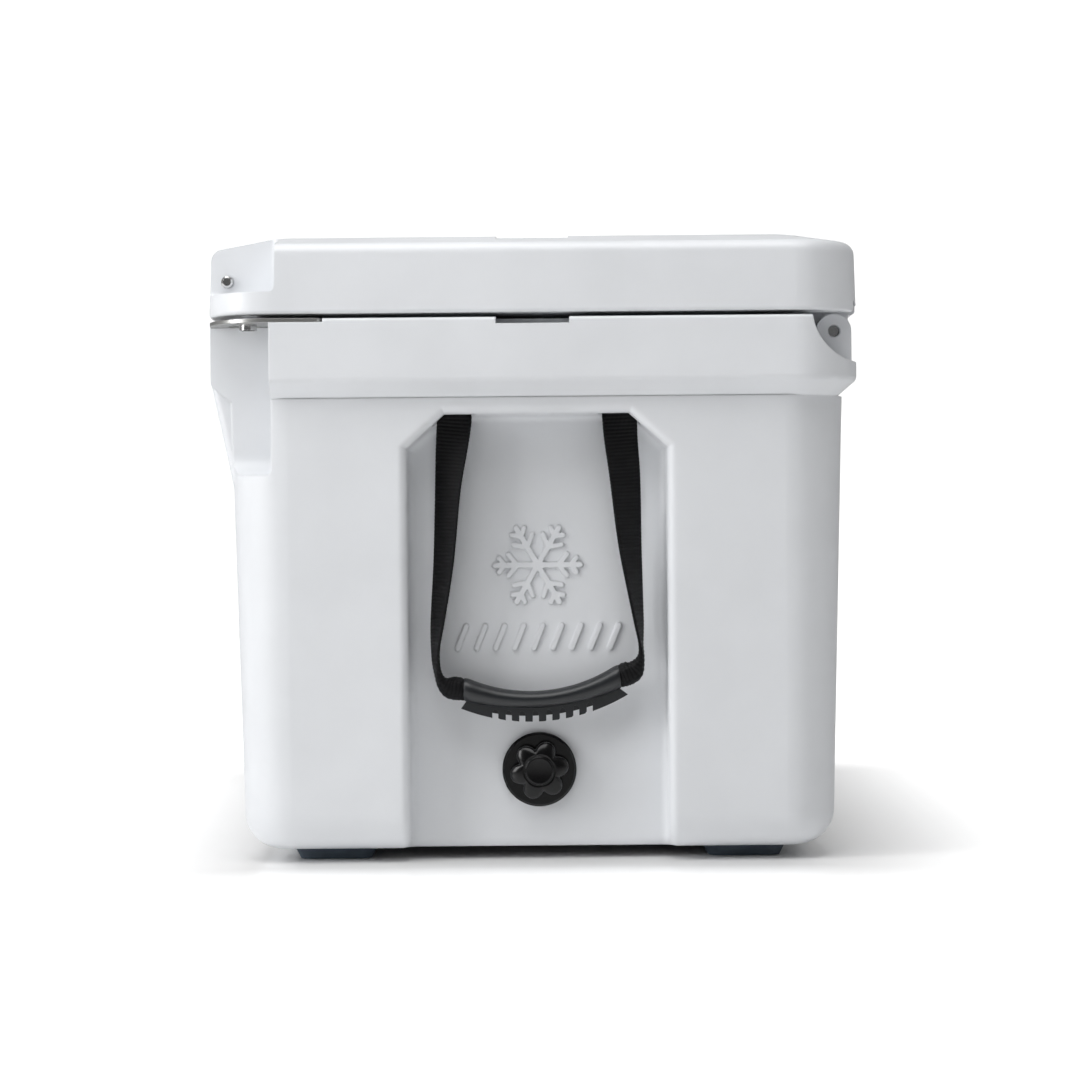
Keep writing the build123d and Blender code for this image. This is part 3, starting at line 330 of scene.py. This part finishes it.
def smooth_rows(rows, count):
    """Rows of numbers on a smooth line through the given rows, evenly spaced along the path."""
    rows = np.array(rows, float)
    ends = np.vstack([2 * rows[0] - rows[1], rows, 2 * rows[-1] - rows[-2]])
    fine = []
    for i in range(len(rows) - 1):
        a, b, c, d = ends[i : i + 4]
        bow, twist = 2 * a - 5 * b + 4 * c - d, 3 * b - a - 3 * c + d
        for t in np.linspace(0, 1, CURVE_STEPS, endpoint=False):
            fine.append(0.5 * (2 * b + (c - a) * t + bow * t**2 + twist * t**3))
    fine = np.array([*fine, rows[-1]])
    run = np.concatenate([[0], np.cumsum(np.linalg.norm(np.diff(fine[:, :3], axis=0), axis=1))])
    even = np.linspace(0, run[-1], count(run[-1]))
    return np.array([np.interp(even, run, column) for column in fine.T]).T, even


strap_low, strap_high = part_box("handle_strap_right")
strap_x = (strap_low[0] + strap_high[0]) / 2


def ribbon(name, side, rows):
    """A webbing leg, from rows in mm and degrees.

    A row is (x from the strap's plane, y, z, half width, half thickness, twist, squareness).
    """
    stations, along_mm = smooth_rows(rows, lambda length: int(length / RIB_PITCH_MM * STATIONS_PER_RIB))
    path = stations[:, :3]
    tangent = np.gradient(path, axis=0)
    tangent /= np.linalg.norm(tangent, axis=1)[:, None]
    wide = np.array([0.0, 1.0, 0.0])
    points, across_mm, reach_mm = [], [], []
    for place, ahead, station, mm in zip(path, tangent, stations, along_mm):
        wide = wide - wide.dot(ahead) * ahead
        wide /= np.linalg.norm(wide)
        half_width, half_thick, twist, square = station[3:]
        turned = cos(radians(twist)) * wide + sin(radians(twist)) * np.cross(ahead, wide)
        thick = np.cross(turned, ahead)
        for step in range(SECTION_POINTS):
            angle = 2 * pi * step / SECTION_POINTS
            w = half_width * np.sign(cos(angle)) * abs(cos(angle)) ** (2 / square)
            t = half_thick * np.sign(sin(angle)) * abs(sin(angle)) ** (2 / square)
            spot = place + w * turned + t * thick
            points.append((side * (strap_x + spot[0] * MM), spot[1] * MM, spot[2] * MM))
            across_mm.append(w)
            reach_mm.append(mm)
    faces = []
    count = SECTION_POINTS
    for ring in range(len(path) - 1):
        for step in range(count):
            a, b = ring * count + step, ring * count + (step + 1) % count
            faces.append((a, b, b + count, a + count))
    last = (len(path) - 1) * count
    faces.append(tuple(range(count))[::-1])
    faces.append(tuple(range(last, last + count)))
    if side > 0:
        faces = [face[::-1] for face in faces]
    leg = mesh_object(name, points, faces)
    for key, values in (("along_mm", reach_mm), ("across_mm", across_mm)):
        leg.data.attributes.new(key, "FLOAT", "POINT").data.foreach_set("value", values)
    weave = leg.modifiers.new("weave", "NODES")
    weave.node_group = ribs
    weave[pitch_input.identifier] = RIB_PITCH_MM
    weave[height_input.identifier] = RIB_HEIGHT_MM * MM
    weave[fabric_input.identifier] = webbing_nylon
    return settle(leg)


FLAT = 9.0  # squareness of the flat strip's section
BUNDLE = 2.3  # and of the gathered bundle's
PIN_Z = 317.6  # mm, the pin in the wall
# Each loop goes up behind its pin, over it and down again
loop = [
    (-2.6, 0, 305.5, 11.6, 0.8, 0, FLAT),
    (-4.2, 0, PIN_Z - 3, 11.6, 0.8, 0, FLAT),
    (-3.3, 0, PIN_Z + 2.9, 11.6, 0.8, 0, FLAT),
    (0.0, 0, PIN_Z + 4.5, 11.6, 0.8, 0, FLAT),
    (3.3, 0, PIN_Z + 2.9, 11.6, 0.8, 0, FLAT),
    (4.2, 0, PIN_Z - 3, 11.6, 0.8, 0, FLAT),
    (2.4, 0, 306.5, 11.6, 0.8, 4, FLAT),
]
leg_rows = {
    "front": (
        -54.0,
        [
            (0.6, -53.6, 299.0, 11.8, 0.8, 10, FLAT),
            (0.0, -54.9, 285.0, 11.8, 0.8, 22, FLAT),
            (0.0, -58.2, 253.0, 11.8, 0.8, 44, FLAT),
            (0.0, -61.6, 203.0, 11.8, 0.8, 56, FLAT),
            (0.0, -66.0, 163.0, 11.8, 0.8, 68, FLAT),
            (0.0, -67.6, 145.0, 11.4, 0.8, 76, FLAT),
            (0.0, -67.0, 132.0, 10.4, 1.4, 80, 5.0),
            (0.0, -64.0, 122.5, 8.6, 3.6, 88, BUNDLE),
            (0.0, -58.6, 118.2, 7.6, 7.2, 90, BUNDLE),
            (0.0, -52.0, 116.8, 7.2, 7.6, 90, BUNDLE),
            (0.0, -46.0, 114.9, 6.0, 6.2, 90, BUNDLE),
            (0.0, -38.0, 112.4, 5.0, 5.0, 90, BUNDLE),
        ],
    ),
    "rear": (
        58.0,
        [
            (0.6, 58.2, 299.0, 11.8, 0.8, -10, FLAT),
            (0.0, 59.0, 285.0, 11.8, 0.8, -20, FLAT),
            (0.0, 61.6, 258.0, 11.8, 0.8, -32, FLAT),
            (0.0, 64.4, 215.0, 11.8, 0.8, -50, FLAT),
            (0.0, 67.8, 182.0, 11.8, 0.8, -66, FLAT),
            (0.0, 70.2, 160.0, 11.4, 0.8, -76, FLAT),
            (0.0, 71.4, 146.0, 10.6, 0.9, -84, 6.0),
            (0.0, 71.0, 136.5, 9.0, 2.6, -88, 3.0),
            (0.0, 66.6, 128.6, 7.6, 6.8, -90, BUNDLE),
            (0.0, 60.6, 125.6, 7.3, 7.8, -90, BUNDLE),
            (0.0, 54.0, 122.6, 6.0, 6.2, -90, BUNDLE),
            (0.0, 46.0, 119.4, 5.0, 5.0, -90, BUNDLE),
        ],
    ),
}
for end_name, side in (("right", 1), ("left", -1)):
    for leg_name, (root_y, rows) in leg_rows.items():
        top = [(row[0], root_y, *row[2:]) for row in loop]
        leg = ribbon(f"webbing_{leg_name}_{end_name}", side, top + rows)
        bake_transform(leg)
        if leg_name == "front":
            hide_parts(f"handle_strap_{end_name}", f"strap_loops_{end_name}")

# ---------------------------------------------------------------- handle grips
# A moulded rubber sleeve, round above and flared to its ends, with a slotted fin below that
# gives the fingers purchase. It is slid over the gathered webbing, and hangs lower in front.
grip_rubber, tree, shader = material(
    "moulded_grip_rubber",
    {"Base Color": srgb("#13161A"), "Roughness": 0.36, "IOR": 1.52, "Specular IOR Level": 0.55},
)
coords = add(tree, "ShaderNodeTexCoord").outputs["Object"]
skin_noise = add(tree, "ShaderNodeTexNoise", {"Vector": coords, "Scale": 1 / (0.6 * MM), "Detail": 2.0})
smears = add(tree, "ShaderNodeTexNoise", {"Vector": coords, "Scale": 1 / (16 * MM), "Detail": 3.0})
skin_bump = add(
    tree, "ShaderNodeBump", {"Height": skin_noise.outputs["Fac"], "Distance": 0.04 * MM, "Strength": 0.4}
)
tree.links.new(skin_bump.outputs["Normal"], shader.inputs["Normal"])
dulled = add(tree, "ShaderNodeMapRange", {"Value": smears.outputs["Fac"], "To Min": 0.28, "To Max": 0.46})
tree.links.new(dulled.outputs["Result"], shader.inputs["Roughness"])


def arc_through(first, middle, last):
    """A function from 0..1 to points on the arc through three points."""
    (ax, ay), (bx, by), (cx, cy) = first, middle, last
    d = 2 * (ax * (by - cy) + bx * (cy - ay) + cx * (ay - by))
    a2, b2, c2 = ax**2 + ay**2, bx**2 + by**2, cx**2 + cy**2
    centre_x = (a2 * (by - cy) + b2 * (cy - ay) + c2 * (ay - by)) / d
    centre_y = (a2 * (cx - bx) + b2 * (ax - cx) + c2 * (bx - ax)) / d
    centre = np.array([centre_x, centre_y])
    radius = hypot(ax - centre[0], ay - centre[1])
    start = atan2(ay - centre[1], ax - centre[0])
    stop = atan2(cy - centre[1], cx - centre[0])
    turn = stop - start
    return lambda u: centre + radius * np.array([cos(start + turn * u), sin(start + turn * u)])


GRIP_SECTIONS = 64  # along the sleeve
GRIP_ROUND = 32  # points round it
END_SHRINK = (0.86, 0.95, 0.985)  # of the last sections, that round the sleeve's ends
# Outlines in the handle's plane, as (y, z) in mm
sleeve_top = arc_through((-48.4, 125.2), (2.7, 115.2), (55.9, 133.2))
sleeve_low = arc_through((-48.8, 108.0), (2.7, 103.2), (57.9, 115.6))
fin_low = arc_through((-50.6, 103.6), (-0.6, 94.4), (62.2, 112.2))
SLEEVE_HALF_DEPTH = 9.0  # mm, at the ends
SLEEVE_WAIST = 1.2  # mm less in the middle
FIN_HALF = 3.4  # mm, half its thickness
FIN_ROOT = 3.0  # mm, how far the fin runs up into the sleeve
FIN_POINTS = 24
WEB_HALF = 1.6  # mm, half of the thin web that closes the upper part of the slots
WEB_SHARE = 0.55  # of the fin's depth that the web reaches down
SLOT_COUNT = 8
SLOT_PITCH = 9.13
SLOT_MIDDLE = 4.4
SLOT_HALF = 2.05
SLOT_ROOF = 1.2  # mm of rubber left above a slot's crown
EDGE_POINTS = 90  # along the fin's low edge
CROWN_STEPS = 8


def sleeve_mesh(side):
    """The grip's round sleeve, closed at both ends."""
    points, faces = [], []
    for ring in range(GRIP_SECTIONS + 1):
        u = ring / GRIP_SECTIONS
        edge = min(u, 1 - u) * GRIP_SECTIONS
        shrink = END_SHRINK[int(edge)] if edge < len(END_SHRINK) else 1.0
        high, low = sleeve_top(u), sleeve_low(u)
        middle, half = (high + low) / 2, (high - low) / 2 * shrink
        depth = (SLEEVE_HALF_DEPTH - SLEEVE_WAIST * sin(pi * u)) * shrink
        for step in range(GRIP_ROUND):
            angle = 2 * pi * step / GRIP_ROUND
            spot = middle + half * cos(angle)
            points.append((side * (strap_x + depth * sin(angle) * MM), spot[0] * MM, spot[1] * MM))
    for ring in range(GRIP_SECTIONS):
        for step in range(GRIP_ROUND):
            a, b = ring * GRIP_ROUND + step, ring * GRIP_ROUND + (step + 1) % GRIP_ROUND
            faces.append((a, b, b + GRIP_ROUND, a + GRIP_ROUND))
    faces.append(tuple(range(GRIP_ROUND))[::-1])
    faces.append(tuple(range(GRIP_SECTIONS * GRIP_ROUND, (GRIP_SECTIONS + 1) * GRIP_ROUND)))
    return points, faces


def fin_outline(slotted):
    """The fin's outline, as (y, z) in mm: along the sleeve, then back along the low edge."""
    outline = [sleeve_low(u) + (0, FIN_ROOT) for u in np.linspace(0.03, 0.97, FIN_POINTS)]
    if not slotted:
        back = np.linspace(0.96, 0.04, FIN_POINTS)
        return outline + [(1 - WEB_SHARE) * sleeve_low(u) + WEB_SHARE * fin_low(u) for u in back]
    slots = [SLOT_MIDDLE + (i - (SLOT_COUNT - 1) / 2) * SLOT_PITCH for i in range(SLOT_COUNT)]
    plain = [fin_low(u) for u in np.linspace(1.0, 0.0, EDGE_POINTS)]
    plain = [spot for spot in plain if all(abs(spot[0] - y) > SLOT_HALF + 0.3 for y in slots)]
    low_edge = sorted([*plain, *((y, None) for y in slots)], key=lambda spot: -spot[0])
    for spot in low_edge:
        middle = spot[0]
        if spot[1] is not None:
            outline.append(spot)
            continue
        u = (middle - sleeve_low(0)[0]) / (sleeve_low(1)[0] - sleeve_low(0)[0])
        crown = sleeve_low(u)[1] - SLOT_ROOF - SLOT_HALF
        foot = fin_low((middle - fin_low(0)[0]) / (fin_low(1)[0] - fin_low(0)[0]))[1]
        outline.append((middle + SLOT_HALF, foot))
        for step in range(CROWN_STEPS + 1):
            angle = pi * step / CROWN_STEPS
            outline.append((middle + SLOT_HALF * cos(angle), crown + SLOT_HALF * sin(angle)))
        outline.append((middle - SLOT_HALF, foot))
    return outline


def plate_mesh(side, outline, half):
    """A flat plate of an outline in the handle's plane, with its thickness each side of it."""
    count = len(outline)
    points = [(side * (strap_x + x * MM), y * MM, z * MM) for x in (-half, half) for y, z in outline]
    faces = [tuple(range(count)), tuple(range(count, 2 * count))[::-1]]
    for i in range(count):
        j = (i + 1) % count
        faces.append((i, i + count, j + count, j))
    return points, faces


for end_name, side in (("right", 1), ("left", -1)):
    points, faces = [], []
    for some_points, some_faces in (
        sleeve_mesh(side),
        plate_mesh(side, fin_outline(True), FIN_HALF),
        plate_mesh(side, fin_outline(False), WEB_HALF),
    ):
        faces += [tuple(len(points) + i for i in face) for face in some_faces]
        points += some_points
    grip = mesh_object(f"grip_sleeve_{end_name}", points, faces, smooth=False)
    shape = bmesh.new()
    shape.from_mesh(grip.data)
    bmesh.ops.recalc_face_normals(shape, faces=shape.faces)
    shape.to_mesh(grip.data)
    shape.free()
    grip.data.shade_smooth()
    soften = grip.modifiers.new("soften", "BEVEL")
    soften.width = 0.55 * MM
    soften.segments = 2
    soften.limit_method = "ANGLE"
    soften.angle_limit = radians(38)
    soften.harden_normals = True
    grip.data.materials.append(grip_rubber)
    settle(grip)
    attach(grip, f"handle_{end_name}")
    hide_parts(f"handle_grip_{end_name}")

# ---------------------------------------------------------------- drain plug and flange
# Glossy black injection-moulded nylon. The flange is clamped through the wall by a nut, on a
# rubber washer, and the six-lobed plug screws into it on a washer of its own.
drain_nylon, tree, shader = material(
    "moulded_black_nylon",
    {"Base Color": srgb("#040405"), "Roughness": 0.2, "IOR": 1.53, "Specular IOR Level": 0.3},
)
coords = add(tree, "ShaderNodeTexCoord").outputs["Object"]
flow = add(tree, "ShaderNodeTexNoise", {"Vector": coords, "Scale": 1 / (5 * MM), "Detail": 2.0})
flow_bump = add(tree, "ShaderNodeBump", {"Height": flow.outputs[0], "Distance": 0.05 * MM, "Strength": 0.4})
tree.links.new(flow_bump.outputs["Normal"], shader.inputs["Normal"])
polish = add(tree, "ShaderNodeMapRange", {"Value": flow.outputs["Fac"], "To Min": 0.16, "To Max": 0.27})
tree.links.new(polish.outputs["Result"], shader.inputs["Roughness"])
give(drain_nylon, "drain_body", "drain_nut")

# The plug's head: lobes that slope away from a raised cap, drawn as rings of a polar grid
KNOB_CAP = 9.3  # mm, radius of the flat cap
KNOB_GROOVE = 10.8  # mm, outside of the groove round it
KNOB_TIP = 20.1  # mm, at a lobe's tip
KNOB_WAIST = 14.6  # mm, between two lobes
KNOB_TURN = 11.0  # degrees, how the plug stands
KNOB_LOBES = 6
KNOB_FULLNESS = 0.42  # below 1 widens the lobes
KNOB_STEPS = 192
plug_low, plug_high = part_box("drain_knob")
plug_y = (plug_low[1] + plug_high[1]) / 2 / MM
plug_z = (plug_low[2] + plug_high[2]) / 2 / MM
plug_face = plug_high[0] / MM  # the cap's top
plug_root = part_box("knob_seal")[1][0] / MM  # the head bears on its washer here


def lobe_edge(angle):
    """The head's outer radius at an angle."""
    wave = 0.5 + 0.5 * cos(KNOB_LOBES * (angle - radians(KNOB_TURN)))
    return KNOB_WAIST + (KNOB_TIP - KNOB_WAIST) * wave**KNOB_FULLNESS


# A ring is (share of the way from the groove to the lobed edge, radius of a plain circle, height):
# one of the first two counts, and heights are in mm above the washer
head = plug_face - plug_root
knob_rings = [
    (None, 1.5, head - 0.35),
    (None, KNOB_CAP - 1.2, head - 0.2),
    (None, KNOB_CAP - 0.4, head),
    (None, KNOB_CAP, head - 0.35),
    (None, KNOB_CAP + 0.3, head - 1.5),
    (None, KNOB_GROOVE - 0.4, head - 1.7),
    (None, KNOB_GROOVE, head - 1.3),
    (0.12, 0, head - 1.5),
    (0.4, 0, head - 2.2),
    (0.7, 0, head - 3.5),
    (0.88, 0, head - 4.6),
    (0.97, 0, head - 5.5),
    (1.0, 0, head - 6.6),
    (1.0, 0, 1.0),
    (0.96, 0, 0.0),
]
points, faces = [(0.0, 0.0, head - 0.38)], []
for share, radius, height in knob_rings:
    for step in range(KNOB_STEPS):
        angle = 2 * pi * step / KNOB_STEPS
        r = radius if share is None else KNOB_GROOVE + (lobe_edge(angle) - KNOB_GROOVE) * share
        points.append((r * cos(angle), r * sin(angle), height))
points.append((0.0, 0.0, 0.0))
for step in range(KNOB_STEPS):
    after = (step + 1) % KNOB_STEPS
    faces.append((0, 1 + step, 1 + after))
    for ring in range(len(knob_rings) - 1):
        a, b = 1 + ring * KNOB_STEPS + step, 1 + ring * KNOB_STEPS + after
        faces.append((a, a + KNOB_STEPS, b + KNOB_STEPS, b))
    last = 1 + (len(knob_rings) - 1) * KNOB_STEPS
    faces.append((last + step, len(points) - 1, last + after))
placed = [((plug_root + z) * MM, (plug_y + x) * MM, (plug_z + y) * MM) for x, y, z in points]
plug_head = mesh_object("drain_plug_head", placed, faces)
plug_head.data.materials.append(drain_nylon)
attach(plug_head, "drain_plug")
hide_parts("drain_knob")

# ---------------------------------------------------------------- rubber parts
# Latches, feet, the lid's gasket and the drain's washers are compression-moulded rubber: a
# dull surface with a fine matt grain, black but for the blue-grey feet.


def rubber(name, colour, pale, roughness):
    """A dull moulded rubber with a fine grain, a little paler where it has been rubbed."""
    made, tree, shader = material(name, {"Base Color": srgb(colour), "Roughness": roughness, "IOR": 1.52})
    coords = add(tree, "ShaderNodeTexCoord").outputs["Object"]
    fine = add(tree, "ShaderNodeTexNoise", {"Vector": coords, "Scale": 1 / (0.5 * MM), "Detail": 2.0})
    worn = add(tree, "ShaderNodeTexNoise", {"Vector": coords, "Scale": 1 / (22 * MM), "Detail": 4.0})
    edge = add(tree, "ShaderNodeBevel", {"Radius": 0.8 * MM}, samples=4)
    bump = add(
        tree,
        "ShaderNodeBump",
        {"Height": fine.outputs[0], "Distance": 0.05 * MM, "Strength": 0.5, "Normal": edge.outputs[0]},
    )
    tree.links.new(bump.outputs["Normal"], shader.inputs["Normal"])
    shade = add(tree, "ShaderNodeValToRGB", {"Fac": worn.outputs["Fac"]})
    shade.color_ramp.elements[0].position = 0.35
    shade.color_ramp.elements[0].color = srgb(colour)
    shade.color_ramp.elements[1].position = 0.75
    shade.color_ramp.elements[1].color = srgb(pale)
    tree.links.new(shade.outputs["Color"], shader.inputs["Base Color"])
    return made


latch_rubber = rubber("moulded_latch_rubber", "#0D0D0E", "#151516", 0.5)
foot_rubber = rubber("blue_grey_foot_rubber", "#414D59", "#4D5964", 0.62)
gasket_rubber = rubber("extruded_gasket_rubber", "#1B1B1D", "#262628", 0.58)
give(latch_rubber, "latch_right", "latch_left")
give(foot_rubber, *(f"foot_{row}_{end}" for row in ("front", "rear") for end in ("right", "left")))
give(gasket_rubber, "lid_gasket", "drain_seal", "knob_seal")

# ---------------------------------------------------------------- steel parts
# The padlock plates are stainless sheet with a brushed face; the pins, bushes, rod and screws
# are turned or headed stainless, brighter and with marks that run round them.


def steel(name, colour, low_gloss, high_gloss, stretch):
    """Bare stainless steel with fine marks; stretch is the marks' length in mm along X, Y and Z."""
    made, tree, shader = material(name, {"Base Color": srgb(colour), "Metallic": 1.0, "Roughness": low_gloss})
    coords = add(tree, "ShaderNodeTexCoord").outputs["Object"]
    lay = add(tree, "ShaderNodeMapping", {"Vector": coords, "Scale": tuple(1 / (mm * MM) for mm in stretch)})
    marks = add(tree, "ShaderNodeTexNoise", {"Vector": lay.outputs["Vector"], "Scale": 1.0, "Detail": 3.0})
    gloss = add(
        tree, "ShaderNodeMapRange", {"Value": marks.outputs["Fac"], "To Min": low_gloss, "To Max": high_gloss}
    )
    tree.links.new(gloss.outputs["Result"], shader.inputs["Roughness"])
    edge = add(tree, "ShaderNodeBevel", {"Radius": 0.3 * MM}, samples=4)
    bump = add(
        tree,
        "ShaderNodeBump",
        {"Height": marks.outputs[0], "Distance": 0.02 * MM, "Strength": 0.35, "Normal": edge.outputs[0]},
    )
    tree.links.new(bump.outputs["Normal"], shader.inputs["Normal"])
    return made


brushed_steel = steel("brushed_stainless_sheet", "#B4B4B2", 0.26, 0.42, (14.0, 0.35, 0.35))
turned_steel = steel("turned_stainless_bar", "#C6C6C6", 0.12, 0.24, (0.3, 4.0, 4.0))
headed_steel = steel("headed_stainless_screw", "#BDBDBC", 0.16, 0.3, (0.6, 0.6, 0.6))
give(brushed_steel, "lock_plate_right", "lock_plate_left")
give(turned_steel, "latch_pin_right", "latch_pin_left", "lock_bush_right", "lock_bush_left")
give(turned_steel, "hinge_rod", "strap_pins")
give(headed_steel, "lock_plate_screws", "foot_screws")

# ---------------------------------------------------------------- foam
# Rigid polyurethane foam, poured between the skins and set there: pale yellow, fine cells.
CELL_MM = 1.2
set_foam, tree, shader = material(
    "poured_polyurethane_foam", {"Base Color": srgb("#D9CC9B"), "Roughness": 0.9}
)
coords = add(tree, "ShaderNodeTexCoord").outputs["Object"]
cells = add(tree, "ShaderNodeTexVoronoi", {"Vector": coords, "Scale": 1 / (CELL_MM * MM)})
pits = add(tree, "ShaderNodeBump", {"Height": cells.outputs[0], "Distance": 0.4 * MM, "Strength": 0.6})
tree.links.new(pits.outputs["Normal"], shader.inputs["Normal"])
give(set_foam, "body_foam", "lid_foam")
